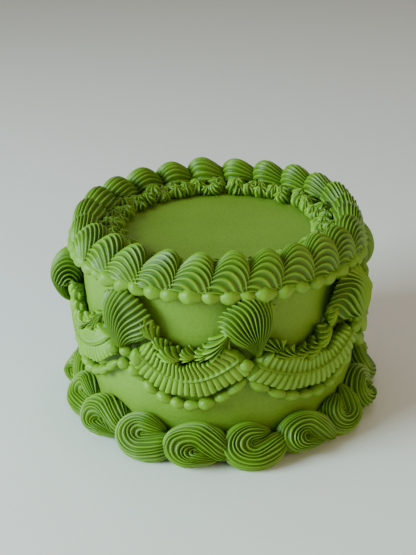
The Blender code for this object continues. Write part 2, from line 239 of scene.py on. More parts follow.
def stroke(name: str, tip: Tip, rings: int, form: Form,
           shade: Optional[Callable[[Array], Array]] = None) -> Item:
    """A ball whose meridians become a stroke's ridges.

    Args:
        name: the object's name.
        tip: the star tip, which sets the ridges.
        rings: how many rings of vertices lie along the stroke.
        form: takes how far each vertex lies from tail to head, 0 to 1, its angle
            round that way, 0 at the face that shows, and its crest, and gives its place.
        shade: painted shade, how pale the ridges are left at each point, where that differs.

    Returns:
        The new object.
    """
    bpy.ops.mesh.primitive_uv_sphere_add(segments=tip.sides, ring_count=rings)
    item = bpy.context.object
    item.name = name
    ball = positions(item)
    along = np.arccos(np.clip(-ball[:, 2], -1.0, 1.0)) / np.pi
    along = np.round(along * rings) / rings
    around = np.arctan2(ball[:, 1], ball[:, 0])
    crest = tip.crest(around)
    points = form(along, around, crest)
    lay_out(item, points)
    inside = (along > 0.0) & (along < 1.0)
    # Painted light: crests are stored pale as painted highlights and grooves dark as painted shade, times
    # the painted shade where one is given.
    store(item, PAINTED_LIGHT_LAYER, np.where(inside, crest, 0.5) * (shade(points) if shade else 1.0))
    face_out(item)
    return item


# Shader maths


@dataclass(frozen=True)
class Signal:
    """A shader socket that Python's operators work on."""

    shader: "Shader"
    socket: bpy.types.NodeSocket

    def _maths(self, operation: str, other: Value, clamp: bool = False) -> "Signal":
        """A Math node on this socket and another value."""
        settings = {"operation": operation, "use_clamp": clamp}
        return self.shader.node("ShaderNodeMath", settings, {0: self, 1: other})

    def __add__(self, other: Value) -> "Signal":
        """Adds."""
        return self._maths("ADD", other)

    def __sub__(self, other: Value) -> "Signal":
        """Takes away."""
        return self._maths("SUBTRACT", other)

    def __mul__(self, other: Value) -> "Signal":
        """Multiplies."""
        return self._maths("MULTIPLY", other)

    __radd__ = __add__
    __rmul__ = __mul__

    def clipped(self) -> "Signal":
        """The value held between 0 and 1."""
        return self._maths("ADD", 0.0, clamp=True)


class Shader:
    """A material's node tree, built from expressions."""

    def __init__(self, name: str) -> None:
        """Starts a material with a Principled shader."""
        self.material = bpy.data.materials.new(name)
        self.material.use_nodes = True
        self.tree = self.material.node_tree
        self.surface = self.tree.nodes["Principled BSDF"]

    def node(self, kind: str, settings: Optional[dict] = None, inputs: Optional[dict] = None,
             output: Union[int, str] = 0) -> Signal:
        """Any node: its settings first, then the values or links of its sockets.

        Args:
            kind: the node's type.
            settings: attributes of the node.
            inputs: a value or a signal for each socket, by number or name.
            output: the socket that is returned.

        Returns:
            The chosen output as a signal.
        """
        new = self.tree.nodes.new(kind)
        for key, value in (settings or {}).items():
            setattr(new, key, value)
        for key, value in (inputs or {}).items():
            self.fill(new.inputs[key], value)
        return Signal(self, new.outputs[output])

    def fill(self, socket: bpy.types.NodeSocket, value: Filling) -> None:
        """Sets a socket to a value or links it to a signal."""
        if isinstance(value, Signal):
            self.tree.links.new(value.socket, socket)
        else:
            socket.default_value = value

    def place(self) -> Signal:
        """Object coordinates."""
        return self.node("ShaderNodeTexCoord", output="Object")

    def noise(self, vector: Signal, scale: float, detail: float = 3.0) -> Signal:
        """Cloudy noise from 0 to 1."""
        inputs = {"Vector": vector, "Scale": scale, "Detail": detail, "Roughness": 0.55}
        return self.node("ShaderNodeTexNoise", {}, inputs)

    def blend(self, share: Value, first: Quad, second: Quad) -> Signal:
        """A colour between two others, through the Mix node's sockets for colours."""
        return self.node("ShaderNodeMix", {"data_type": "RGBA"}, {0: share, 6: first, 7: second}, 2)

    def bump(self, height: Signal, strength: float, distance: float,
             normal: Optional[Signal] = None) -> Signal:
        """A normal bent by a height."""
        inputs = {"Height": height, "Strength": strength, "Distance": distance}
        if normal is not None:
            inputs["Normal"] = normal
        return self.node("ShaderNodeBump", {}, inputs)

    def feed(self, name: str, value: Filling) -> None:
        """Sets or links one of the surface's sockets."""
        self.fill(self.surface.inputs[name], value)


@dataclass(frozen=True)
class Buttercream:
    """Satin buttercream: its greens and how light sinks into it.

    Args:
        name: the material's name.
        light: the colour of ridges, there as a painted highlight, and of the palest patches.
        deep: the colour of grooves and of piping against the wall, there as painted shade, and of the
            deepest patches.
        roughness: how wide its highlights are.
        sink: how much of the light scatters under the surface.
    """

    name: str
    light: Quad
    deep: Quad
    roughness: float
    sink: float = 0.10

    def base(self) -> Shader:
        """A shader with the constants that both finishes share."""
        shader = Shader(self.name)
        for name, value in {"Subsurface Weight": self.sink, "Subsurface Radius": (0.8, 1.0, 0.25),
                            "Subsurface Scale": 0.0014, "IOR": 1.45, "Specular IOR Level": 0.38}.items():
            shader.feed(name, value)
        return shader

    def smooth(self) -> bpy.types.Material:
        """Icing spread flat with a scraper: faint sweeps, a fine grain and clouds of tone."""
        shader = self.base()
        place = shader.place()
        clouds = shader.noise(place, 26.0, 2.0)
        grain = shader.noise(place, 1900.0, 2.0)
        layers = shader.node("ShaderNodeMapping", {}, {"Vector": place, "Scale": (18.0, 18.0, 420.0)})
        sweeps = shader.noise(layers, 1.0)
        specks = shader.noise(place, 620.0)
        tone = (0.90 * clouds + 1.10 * specks + 0.16 * sweeps - 0.58).clipped()
        shader.feed("Base Color", shader.blend(tone, self.deep, self.light))
        shader.feed("Roughness", self.roughness + 0.16 * grain - 0.08)
        soft = shader.bump(0.5 * sweeps + 0.5 * specks, 0.45, 0.0007)
        shader.feed("Normal", shader.bump(grain, 0.35, 0.00018, soft))
        return shader.material

    def piped(self) -> bpy.types.Material:
        """Icing pressed through a star tip: painted highlights on crests, painted shade in grooves and
        against the wall, and a fine grain.
        """
        shader = self.base()
        place = shader.place()
        ridge = shader.node("ShaderNodeAttribute", {"attribute_name": PAINTED_LIGHT_LAYER}, output="Fac")
        clouds = shader.noise(place, 60.0, 2.0)
        grain = shader.noise(place, 1700.0)
        # The attribute paints highlights and shade; the clouds and grain are the icing's own mottling.
        tone = (0.95 * ridge + 0.44 * clouds + 0.14 * grain - 0.20).clipped()
        shader.feed("Base Color", shader.blend(tone, self.deep, self.light))
        shader.feed("Roughness", self.roughness + 0.14 * grain - 0.05)
        shader.feed("Normal", shader.bump(grain, 0.35, 0.00022))
        return shader.material


SMOOTH_GREEN = Buttercream("smooth_buttercream", (0.190, 0.330, 0.030, 1.0),
                           (0.118, 0.228, 0.011, 1.0), 0.52)
# The piped light green is the painted highlight on crests, and its deep green is the painted shade in
# grooves.
PIPED_GREEN = Buttercream("piped_buttercream", (0.205, 0.385, 0.024, 1.0),
                          (0.040, 0.098, 0.0004, 1.0), 0.38)


@dataclass
class Dresser:
    """Gives finished pieces their material, taken from the record's slot, and their body, and hides the
    nodes that they stand for.
    """

    smooth: bpy.types.Material
    piped: bpy.types.Material

    def dress(self, piece: Item, *nodes: str, slot: Slot = Slot.PIPED, crease: float = 180.0) -> None:
        """Finishes one piece.

        Args:
            piece: the piece, already in its place.
            nodes: the nodes that it stands for.
            slot: the record's slot that it takes its finish from.
            crease: edges sharper than this many degrees stay crisp.
        """
        piece.data.materials.clear()
        piece.data.materials.append(self.smooth if slot is Slot.SMOOTH else self.piped)
        pick(piece)
        bpy.ops.object.shade_smooth()
        if crease < 180.0:
            bpy.ops.object.shade_smooth_by_angle(angle=math.radians(crease))
        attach(piece, ROOT)
        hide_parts(*nodes)
        log.info("%s stands for %s with %d faces", piece.name, ", ".join(nodes), len(piece.data.polygons))


# The drum


@dataclass
class Drum:
    """The iced cake: a smooth drum with a softened upper edge."""

    radius: float = CAKE_RADIUS
    height: float = CAKE_TOP
    softening: float = 0.0030
    sides: int = 192
    waviness: float = 0.00016

    def build(self) -> Item:
        """Turns the drum, softens its edges and lets its wall waver as a scraper leaves it."""
        deselect()
        bpy.ops.mesh.primitive_cylinder_add(vertices=self.sides, radius=self.radius, depth=self.height,
                                            location=(0.0, 0.0, 0.5 * self.height))
        drum = bpy.context.object
        bpy.ops.object.transform_apply()
        bpy.ops.object.mode_set(mode="EDIT")
        bpy.ops.mesh.select_mode(type="FACE")
        bpy.ops.mesh.select_all(action="DESELECT")
        bpy.ops.object.mode_set(mode="OBJECT")
        for face in drum.data.polygons:
            face.select = abs(face.normal.z) > 0.9
        bpy.ops.object.mode_set(mode="EDIT")
        for share in (0.10, 0.25, 0.34):
            bpy.ops.mesh.inset(thickness=share * self.radius)
        bpy.ops.mesh.poke()
        for share in (0.25, 0.5, 0.75):
            bpy.ops.mesh.select_all(action="SELECT")
            bpy.ops.mesh.bisect(plane_co=(0.0, 0.0, share * self.height), plane_no=(0.0, 0.0, 1.0))
        bpy.ops.object.mode_set(mode="OBJECT")
        edge = drum.modifiers.new("Soft edge", "BEVEL")
        edge.width = self.softening
        edge.segments = 4
        edge.limit_method = "ANGLE"
        edge.angle_limit = math.radians(60.0)
        pick(drum)
        bpy.ops.object.modifier_apply(modifier=edge.name)
        self._waver(drum)
        drum.name = "smooth_drum"
        return drum

    def _waver(self, drum: Item) -> None:
        """Lets the wall and top depart a little from true."""
        points = positions(drum)
        right, back, up = points.T
        angle = np.arctan2(right, -back)
        on_wall = progress(up, 0.0, 0.010) * progress(up, self.height, self.height - 0.008)
        ripple = np.sin(3.0 * angle + 0.7) + 0.6 * np.sin(7.0 * angle + 90.0 * up + 2.0)
        scale = 1.0 - self.waviness * on_wall * (1.6 + ripple) / np.maximum(np.hypot(right, back), 0.001)
        points[:, :2] *= scale[:, None]
        lay_out(drum, points)


# The rim


@dataclass
class RimRope:
    """The rope of large shells that lies on the cake's edge, each head over the next one's tail."""

    count: int = 25
    first_edge: float = math.radians(9.3)
    front_packing: float = math.radians(5.0)
    back_shift: float = math.radians(3.5)
    radius: float = 0.0716
    half_width: float = 0.0110
    half_length: float = 0.0134
    rise: float = 0.0172
    depth: float = 0.0062
    level: float = 0.0980
    crown: float = 0.20
    tail_power: float = 1.75
    head_power: float = 2.3
    top_lead: float = 0.0046
    pole_out: float = 0.0078
    eye_out: float = 0.0096
    pole_up: float = -0.0016
    head_turn: float = 0.42
    head_spread: float = 0.55
    bend_from: float = -0.45
    droop: float = 0.0018
    seat: float = 0.0967
    overhang: float = 0.0962
    overhang_radius: float = 0.0766
    overhang_run: float = 0.0015
    foot_radius: float = 0.0600
    pinch: float = 0.26
    gather: float = 0.14
    rings: int = 26
    tip: Tip = Tip(ridges=25, depth=0.165, crispness=2.5)

    def edge(self, index: int) -> float:
        """The angle where a shell's tail lies under the last one's head, closer at the front."""
        even = self.first_edge + 2.0 * math.pi * index / self.count
        return even - self.front_packing * math.sin(even) - self.back_shift * (1.0 - math.cos(even))

    def shell(self, index: int, angle: float, spacing: float) -> Item:
        """One shell lying along the rim, its tail to the left.

        Args:
            index: which shell it is.
            angle: where its middle lies.
            spacing: the angle that it takes up.

        Returns:
            The shell in its place.
        """
        size = 1.0 + 0.05 * uneven(index, 1)
        half = self.half_length * spacing * self.count / (2.0 * math.pi)
        shift = 0.0006 * uneven(index, 2)
        lead = self.top_lead + 0.0012 * uneven(index, 4)
        turn = self.head_turn * (1.0 + 0.25 * uneven(index, 5))
        slim = 1.0 - self.pinch * pinched(angle)

        def form(along: Array, around: Array, crest: Array) -> Array:
            """Ridges rise from the tail over the top and curl down round an eye at the outer foot."""
            place = -np.cos(np.pi * along)
            cut = self.tip.cut(crest)
            ahead = progress(place, self.crown, 1.0)
            back = progress(place, self.crown, -1.0)
            face = drawn_together(around, self.gather) + 0.05 * np.sin(3.0 * around + 6.0 * along + index)
            bend = progress(place, self.bend_from, 1.0) ** 2
            face = face + bend * (turn + self.head_spread * np.sin(face))
            pole = self.pole_out + (self.eye_out - self.pole_out) * ahead
            thick = np.where(place > self.crown, (1.0 - ahead ** self.head_power) ** 0.55,
                             1.0 - back ** self.tail_power)
            broad = held(thick) ** 0.6
            wide = self.half_width * size * np.sin(face) * cut
            up = np.where(np.cos(face) > 0.0, self.rise * size, self.depth) * np.cos(face) * cut
            out = pole + broad * (wide - pole)
            climb = self.pole_up + thick * (up - self.pole_up)
            lifted = np.clip(climb / self.rise, -0.2, 1.0)
            across = half * place + lead * (2.0 * lifted - lifted ** 2 - 0.5)
            out = np.where(out > 0.0, slim, 1.0) * out
            radius = np.maximum(self.radius + shift + out, self.foot_radius)
            hem = self.overhang - self.droop * held(1.0 - ((place - 0.25) / 0.6) ** 2)
            past = progress(radius, self.overhang_radius, self.overhang_radius + self.overhang_run)
            height = np.maximum(self.level + climb, self.seat + (hem - self.seat) * past)
            return round_the_cake(angle, across * CAKE_RADIUS / self.radius, radius, height)

        return stroke(f"rim_shell_{index}", self.tip, self.rings, form)

    def build(self) -> Item:
        """Pipes the whole rope."""
        edges = [self.edge(index) for index in range(self.count + 1)]
        spans = enumerate(zip(edges, edges[1:]))
        return join("rim_rope", [self.shell(index, 0.5 * (a + b), b - a) for index, (a, b) in spans])


# The small rosettes at the rim's inner foot


@dataclass(frozen=True)
class StarRow:
    """A row of small stars: how many, how far from the cake's middle, on what height and how large."""

    count: int
    radius: float
    base: float
    half_width: float
    rise: float


@dataclass
class InnerRosettes:
    """Two crowded rows of small ruffled stars pressed against the rim's inner foot."""

    rows: tuple[StarRow, ...] = (
        StarRow(54, 0.0564, CAKE_TOP + 0.0002, 0.0050, 0.0064),
        StarRow(48, 0.0598, CAKE_TOP + 0.0018, 0.0048, 0.0062))
    rings: int = 11
    tip: Tip = Tip(ridges=8, depth=0.46, crispness=1.9, columns=5)

    def rosette(self, row: int, place: int) -> Item:
        """One crumpled star, given the number of its row and its own number there."""
        kind = self.rows[row]
        number = place + 100 * row
        angle = 2.0 * math.pi * (place + 0.5 * row + 0.28 * uneven(number, 21)) / kind.count
        centre = kind.radius + 0.0009 * uneven(number, 25)
        twist = 1.8 * uneven(number, 23)
        tilt = 0.0026 * uneven(number, 24)
        size = 1.0 + 0.22 * uneven(number, 22)

        def form(along: Array, around: Array, crest: Array) -> Array:
            """The pole is the star's point, and its ridges run down to what it stands on."""
            turned = around + twist * along + number
            reach = kind.half_width * size * swell(along, 0.70, 0.80) * self.tip.cut(crest)
            crumple = 0.14 * np.sin(2.0 * turned + number) + 0.10 * np.sin(5.0 * turned + 9.0 * along)
            reach = reach * (1.0 + crumple)
            height = kind.rise * size * 0.5 * (1.0 - np.cos(np.pi * along))
            height = height * (1.0 + 0.10 * np.sin(3.0 * turned + number))
            across = reach * np.sin(turned) + tilt * along
            return round_the_cake(angle, across * CAKE_RADIUS / centre,
                                  centre + reach * np.cos(turned) - tilt * along, kind.base + height)

        return stroke(f"rosette_{number}", self.tip, self.rings, form)

    def build(self) -> Item:
        """Pipes both rows."""
        return join("inner_rosettes", [
            self.rosette(row, place) for row, kind in enumerate(self.rows) for place in range(kind.count)])


# Beads


@dataclass(frozen=True)
class BeadShape:
    """A smooth pressed bead: a round head that draws out into a tail."""

    length: float
    height: float
    depth: float
    head_first: float = 0.62

    def model(self, name: str) -> Item:
        """One bead at the origin: its tail towards +X, its height along Z, its depth towards -Y."""
        bpy.ops.mesh.primitive_uv_sphere_add(segments=20, ring_count=14, radius=0.5,
                                             rotation=(0.0, math.radians(90.0), 0.0))
        bead = bpy.context.object
        bead.name = name
        bpy.ops.object.transform_apply(location=False, rotation=True, scale=False)
        points = positions(bead)
        along = points[:, 0]
        taper = 1.0 - (1.0 - self.head_first) * progress(along, -0.15, 0.5)
        lengthwise = self.length * (0.70 * along + 0.60 * np.sign(along) * along ** 2)
        points = np.stack([lengthwise, self.depth * taper * points[:, 1],
                           self.height * taper * points[:, 2]], axis=-1)
        lay_out(bead, points)
        # Painted shade: the bead is pale at its front and darker towards its back, where it meets the wall.
        store(bead, PAINTED_LIGHT_LAYER, 0.66 * held(1.0 - 1.8 * points[:, 1] / self.depth) ** 0.7)
        return bead


def press(model: Item, name: str, points: Array) -> Item:
    """A copy of a modelled bead, with a mesh of its own, laid out at the points."""
    bead = model.copy()
    bead.data = model.data.copy()
    bead.name = name
    bpy.context.scene.collection.objects.link(bead)
    lay_out(bead, points)
    face_out(bead)
    return bead


@dataclass
class RimBeads:
    """The ring of beads on the wall, just under the rim's rope."""

    count: int = 53
    level: float = 0.0940
    stand: float = 0.0037
    pinch: float = 0.24
    pinch_in: float = 0.3
    dents: float = 0.035
    shape: BeadShape = BeadShape(0.0116, 0.0087, 0.0084)

    def build(self) -> Item:
        """Presses the beads one after another."""
        deselect()
        model = self.shape.model("rim_bead")
        beads = []
        for index in range(self.count):
            angle = 2.0 * math.pi * (index + 0.5 + 0.13 * uneven(index, 7)) / self.count
            size = 1.0 + 0.13 * uneven(index, 8) - self.pinch * pinched(angle)
            points = positions(model)
            points *= 1.0 + self.dents * np.sin(700.0 * points[:, [2, 0, 1]] + index)
            across, inward, up = points.T
            radius = CAKE_RADIUS + self.stand * (1.0 - self.pinch_in * pinched(angle)) - inward * size
            height = self.level + up * size + 0.24 * uneven(index, 31) * across
            placed = round_the_cake(angle, across * size, radius, height)
            beads.append(press(model, f"rim_bead_{index}", placed))
        bpy.data.objects.remove(model, do_unlink=True)
        return join("rim_beads", beads)


# Scallops: the fans and the garland's small shells


@dataclass(frozen=True)
class Scallop:
    """A shell piped flat on the wall: a tail that spreads into a head with a pleated edge.

    Args:
        length: from the tail to the head's far edge.
        width: half the head's width.
        depth: how far the head stands off the wall.
        twist: how far its ridges sweep round to one side, in radians.
        lean: how far the head lies beside the tail.
        wave: how much its ridges waver.
        seed: makes it differ from the next one.
        spread: the angle of its last ridges to its middle one, in degrees.
        brow: how early the head falls away to its edge.
    """

    length: float = 0.0368
    width: float = 0.0158
    depth: float = 0.0138
    twist: float = 0.0
    lean: float = 0.0
    wave: float = 0.0
    seed: int = 0
    spread: float = 103.0
    brow: float = 0.72

    def points(self, along: Array, around: Array, crest: Array, tip: Tip) -> tuple[Array, Array, Array]:
        """Where each vertex lies.

        Args:
            along: from the tail, 0, over the pleated edge and back behind it, 1.
            around: the angle round the stroke, 0 in the middle of the face.
            crest: 1 on a ridge and 0 in a groove.
            tip: the star tip.

        Returns:
            Distance across, distance up from the tail and distance off the wall.
        """
        edge, shown = 0.80, 0.80 * np.pi
        front = progress(along, 0.0, edge)
        behind = progress(along, edge, 1.0)
        side = np.clip(around / shown, -1.0, 1.0)
        hidden = progress(np.abs(around), shown, np.pi)
        centre_up = self.length - self.width
        wobble = self.wave * np.sin(9.0 * front + 2.0 * side + self.seed)
        bearing = side * math.radians(self.spread) + self.twist * front ** 1.5 + wobble
        flare = tip.cut(crest, 0.60 * front ** 3)
        ragged = 1.0 + 0.035 * np.sin(5.0 * bearing + 2.1 * self.seed)
        reach_across = self.width * flare * ragged * (1.0 - 0.45 * behind)
        across = reach_across * np.sin(bearing) * front ** 1.35 * (1.0 - hidden)
        top = (centre_up + reach_across * np.cos(bearing)) * (1.0 - 0.8 * hidden)
        up = top * (1.0 - (1.0 - front) ** 1.25)
        across = across + self.lean * front * (1.0 - hidden)
        dome = np.sin(np.pi * held(0.16 + self.brow * front)) ** 0.8
        face = np.sqrt(held(1.0 - 0.92 * np.abs(side) ** 2.8)) * (1.0 - hidden)
        start = held(front * 6.0) ** 0.5
        off = self.depth * dome * face * start * tip.cut(crest) * (1.0 - behind ** 1.6)
        return across, up, off


@dataclass(frozen=True)
class RolledFan:
    """A fan whose ridges rise from its tail, roll over its top and end at an eye on each flank.

    Args:
        eye_off: how far its eyes lie off the wall.
        eye_up: how far they lie above its tail's line.
        reach_off: how far its outermost ridge lies out from its eyes.
        reach_up: how far that ridge lies above them.
        width: half its width.
        tail_drop: how much longer its tail is than its head.
        start: the bearing of its tail from its eyes, in degrees.
        roll: how far it turns round them, in degrees.
        shrink: how much smaller it ends.
        shrink_from: how far along it begins to shrink.
    """

    eye_off: float = 0.0080
    eye_up: float = 0.0238
    reach_off: float = 0.0126
    reach_up: float = 0.0166
    width: float = 0.0196
    tail_drop: float = 1.18
    start: float = -94.0
    roll: float = 356.0
    shrink: float = 0.42
    shrink_from: float = 0.66

    def points(self, along: Array, around: Array, crest: Array, tip: Tip) -> tuple[Array, Array, Array]:
        """Where each vertex lies, given and answered as for a scallop."""
        edge, shown = 0.92, 0.84 * np.pi
        front = progress(along, 0.0, edge)
        behind = progress(along, edge, 1.0)
        face = 0.5 * np.pi * np.clip(around / shown, -1.0, 1.0)
        hidden = progress(np.abs(around), shown, np.pi)
        late = progress(along, self.shrink_from, edge)
        cut = tip.cut(crest) * (1.0 - 0.6 * hidden) * (1.0 - 0.6 * behind) * (1.0 - self.shrink * late)
        turn = np.radians(self.start + self.roll * front + 6.0 * np.sin(5.0 * face + 9.0 * front))
        near_eye = 1.0 - (0.16 + 0.84 * np.cos(face))
        nest = (1.0 - near_eye * held(front / 0.29) ** 0.8) * cut
        drop = np.where(np.sin(turn) < 0.0, self.tail_drop, 1.0)
        taper = 1.0 - 0.30 * held(-np.sin(turn))
        off = self.eye_off + self.reach_off * nest * taper * np.cos(turn)
        up = self.eye_up + self.reach_up * nest * drop * np.sin(turn)
        across = self.width * np.sin(face) * held(front / 0.32) ** 0.85 * cut
        return across, up, np.maximum(off, 0.0)


@dataclass(frozen=True)
class FanPose:
    """How one fan was piped, each with a different turn of the wrist.

    Args:
        shape: its form.
        shift: how many degrees round the cake it stands from the even spacing.
        tail_height: how high its tail is.
        ridges: how many ridges its head spreads into, hidden ones with them.
        crispness: how thin its ridges are beside their grooves.
        depth: how deep those grooves are, as a share of its thickness.
        stand: how far its back lies off the wall.
        rings: how many rings of vertices lie along it.
    """

    shape: Union[Scallop, RolledFan]
    shift: float = 0.0
    tail_height: float = 0.0560
    ridges: int = 21
    crispness: float = 3.3
    depth: float = 0.27
    stand: float = 0.0003
    rings: int = 34

    def build(self, index: int) -> Item:
        """Pipes the fan."""
        angle = FIRST_FAN + FAN_STEP * index + math.radians(self.shift)
        tip = Tip(self.ridges, self.depth, self.crispness)

        def form(along: Array, around: Array, crest: Array) -> Array:
            """Stands the shape on the wall with its tail down."""
            across, up, off = self.shape.points(along, around, crest, tip)
            return round_the_cake(angle, across, CAKE_RADIUS + self.stand + off, self.tail_height + up)

        # Painted shade darkens the fan's ridges near the wall.
        return stroke(f"fan_{index + 1}", tip, self.rings, form, painted_wall_shade)


FANS = (
    FanPose(Scallop(0.0396, 0.0180, 0.0146, 0.36, 0.0034, 0.06, seed=0), 0.8, 0.0546),
    # Fan 2's softer ridges change its shape a little and leave more of it pale, as a painted highlight.
    FanPose(Scallop(0.0380, 0.0158, 0.0138, -0.62, -0.0040, 0.08, seed=1), 1.5, 0.0574, crispness=2.3),
    FanPose(Scallop(0.0394, 0.0176, 0.0150, -0.42, -0.0080, 0.17, seed=2, spread=90.0), -2.6, ridges=16),
    FanPose(Scallop(0.0368, 0.0172, 0.0230, 0.35, 0.0020, 0.09, seed=3), -5.0, 0.0540),
    FanPose(Scallop(twist=-0.45, lean=-0.0035, wave=0.07, seed=4)),
    FanPose(Scallop(twist=0.40, lean=0.0030, wave=0.12, seed=5)),
    FanPose(RolledFan(), tail_height=0.0470, ridges=19))


# The swags


@dataclass(frozen=True)
class SwagLine:
    """The line that a swag's piping follows on the wall.

    Args:
        span: half the angle that it spans, in degrees.
        middle: the height of its lowest point.
        end_rise: how much higher its ends are.
        hang: for a swag that hangs unevenly, the turn in degrees and the lift of its left end,
            then of its right end.
    """

    span: float
    middle: float
    end_rise: float
    hang: dict[int, Quad] = field(default_factory=dict)

    @property
    def reach(self) -> float:
        """Half its length on the wall."""
        return math.radians(self.span) * CAKE_RADIUS

    def place(self, index: int, share: Array, width: Array, out: Array) -> Array:
        """Points at a share along the line, -1 to 1, a distance across it and out from the wall."""
        tilt = np.arctan(2.0 * self.end_rise * share / self.reach)
        left_turn, left_lift, right_turn, right_lift = self.hang.get(index, (0.0, 0.0, 0.0, 0.0))
        left, right = 0.5 - 0.5 * share, 0.5 + 0.5 * share
        level = self.middle + self.end_rise * share * share + left_lift * left ** 2 + right_lift * right ** 2
        turn = left_turn * left ** 2 + right_turn * right ** 2 + self.span * share
        return round_the_cake(FIRST_FAN + FAN_STEP * (index + 0.5) + np.radians(turn),
                              -width * np.sin(tilt), CAKE_RADIUS + out, level + width * np.cos(tilt))


@dataclass
class Garland:
    """The line of small star shells along a swag's top."""

    shells: int = 6
    length: float = 0.0117
    half_width: float = 0.0057
    depth: float = 0.0090
    rings: int = 18
    line: SwagLine = SwagLine(16.6, 0.0588, 0.0151, {
        0: (3.4, 0.0006, 1.6, 0.0030), 1: (-4.4, -0.0092, -4.9, 0.0042), 6: (3.0, -0.0050, 0.0, 0.0)})
    tip: Tip = Tip(ridges=8, depth=0.44, crispness=1.3)

    def build(self, index: int) -> Item:
        """Pipes one garland, each head up the line over the last one's tail."""
        shells = []
        for place in range(self.shells):
            number = index * self.shells + place
            size = 1.0 + 0.18 * uneven(number, 11)
            scallop = Scallop(self.length * size, self.half_width * size, self.depth * size,
                              0.3 * uneven(number, 12), seed=number, spread=100.0, brow=0.58)
            share = -1.0 + 2.0 * (place + 0.98) / self.shells
            turn = 0.16 + 0.36 * uneven(number, 13)

            def form(along: Array, around: Array, crest: Array) -> Array:
                """Lays the small shell along the line with its tail to the right."""
                across, up, off = scallop.points(along, around, crest, self.tip)
                lengthwise = -up * math.cos(turn) + across * math.sin(turn)
                width = across * math.cos(turn) + up * math.sin(turn)
                return self.line.place(index, share + lengthwise / self.line.reach, width,
                                       STAND_OFF + off)

            # Painted shade darkens each small shell's ridges near the wall.
            shells.append(stroke(f"garland_shell_{number}", self.tip, self.rings, form, painted_wall_shade))
        return join(f"garland_{index + 1}", shells)


@dataclass
class Ruffle:
    """A double ruffle: one pleated ribbon with a raised line along its middle.

    Its section runs from that line down to the lip, behind it and up to the top. Each of its rows
    says how far round it lies, how far across, and how far out on a pleat and in a groove.
    """

    pleats: int = 22
    columns: int = 10
    upper: float = 0.0093
    lower: float = 0.0090
    depth: float = 0.0074
    section: tuple[Quad, ...] = (
        (0.0, 0.0, 1.06, 1.04), (0.023, -0.035, 1.02, 0.96), (0.046, -0.07, 0.84, 0.66),
        (0.090, -0.15, 0.96, 0.66), (0.20, -0.66, 1.04, 0.64), (0.30, -0.98, 1.00, 0.60),
        (0.37, -1.02, 0.72, 0.48), (0.41, -0.94, 0.40, 0.26), (0.48, -0.55, 0.0, 0.0),
        (0.60, -0.20, 0.0, 0.0), (0.72, 0.75, 0.0, 0.0), (0.79, 1.0, 0.76, 0.22),
        (0.87, 0.86, 1.06, 0.56), (0.950, 0.09, 0.88, 0.60), (0.977, 0.040, 1.02, 0.96),
        (1.0, 0.0, 1.06, 1.04))
    line: SwagLine = SwagLine(21.5, 0.0480, 0.0142, {
        0: (4.0, -0.0010, 0.0, 0.0), 1: (-4.0, -0.0050, 0.0, -0.0045)})
    sides: Tip = Tip(ridges=11, depth=0.0, columns=4)

    def build(self, index: int) -> Item:
        """Pipes one ruffle."""
        knots, widths, pleat_out, groove_out = np.array(self.section).T
        painted_light_tones: list[Array] = []

        def form(along: Array, around: Array, crest: Array) -> Array:
            """Follows the section round and counts the pleats along, a little slanted."""
            turned = (around / (2.0 * np.pi)) % 1.0
            width = np.interp(turned, knots, widths)
            above, size = width > 0.0, np.abs(width)
            slant = np.where(above, 0.75 * held(width) ** 1.3, -0.08 * width)
            count = along * self.pleats + slant + 0.12 * np.sin(5.0 * along + index)
            which = np.floor(count)
            phase = count - which
            tube = arch(phase, 0.16) * (1.0 - 0.36 * phase ** 1.5)
            pleat = np.where(above, arch(phase ** 1.15, 0.36), tube)
            vary = 1.0 + np.where(above, 0.15, 0.07) * np.sin(7.31 * which + 1.7 * index) * size
            groove = np.interp(turned, knots, groove_out)
            out = groove + (np.interp(turned, knots, pleat_out) - groove) * pleat
            across = np.where(above, self.upper, self.lower) * width * vary * (0.92 + 0.08 * pleat)
            ends = held(np.sin(np.pi * along) * 9.0) ** 0.5
            points = self.line.place(index, -1.0 + 2.0 * along, across * ends,
                                     STAND_OFF + self.depth * out * ends)
            # Painted light: pleats are pale as painted highlights and creases dark as painted shade, darker
            # still near the wall; the raised line takes a middle tone.
            tone = np.where(size < 0.10, 0.55, 0.95 * pleat * held(out))
            painted_light_tones.append(tone * painted_wall_shade(points))
            return points

        ribbon = stroke(f"ruffle_{index + 1}", self.sides, self.pleats * self.columns, form)
        ribbon.data.attributes[PAINTED_LIGHT_LAYER].data.foreach_set("value", painted_light_tones[0].astype(np.float32))
        return ribbon


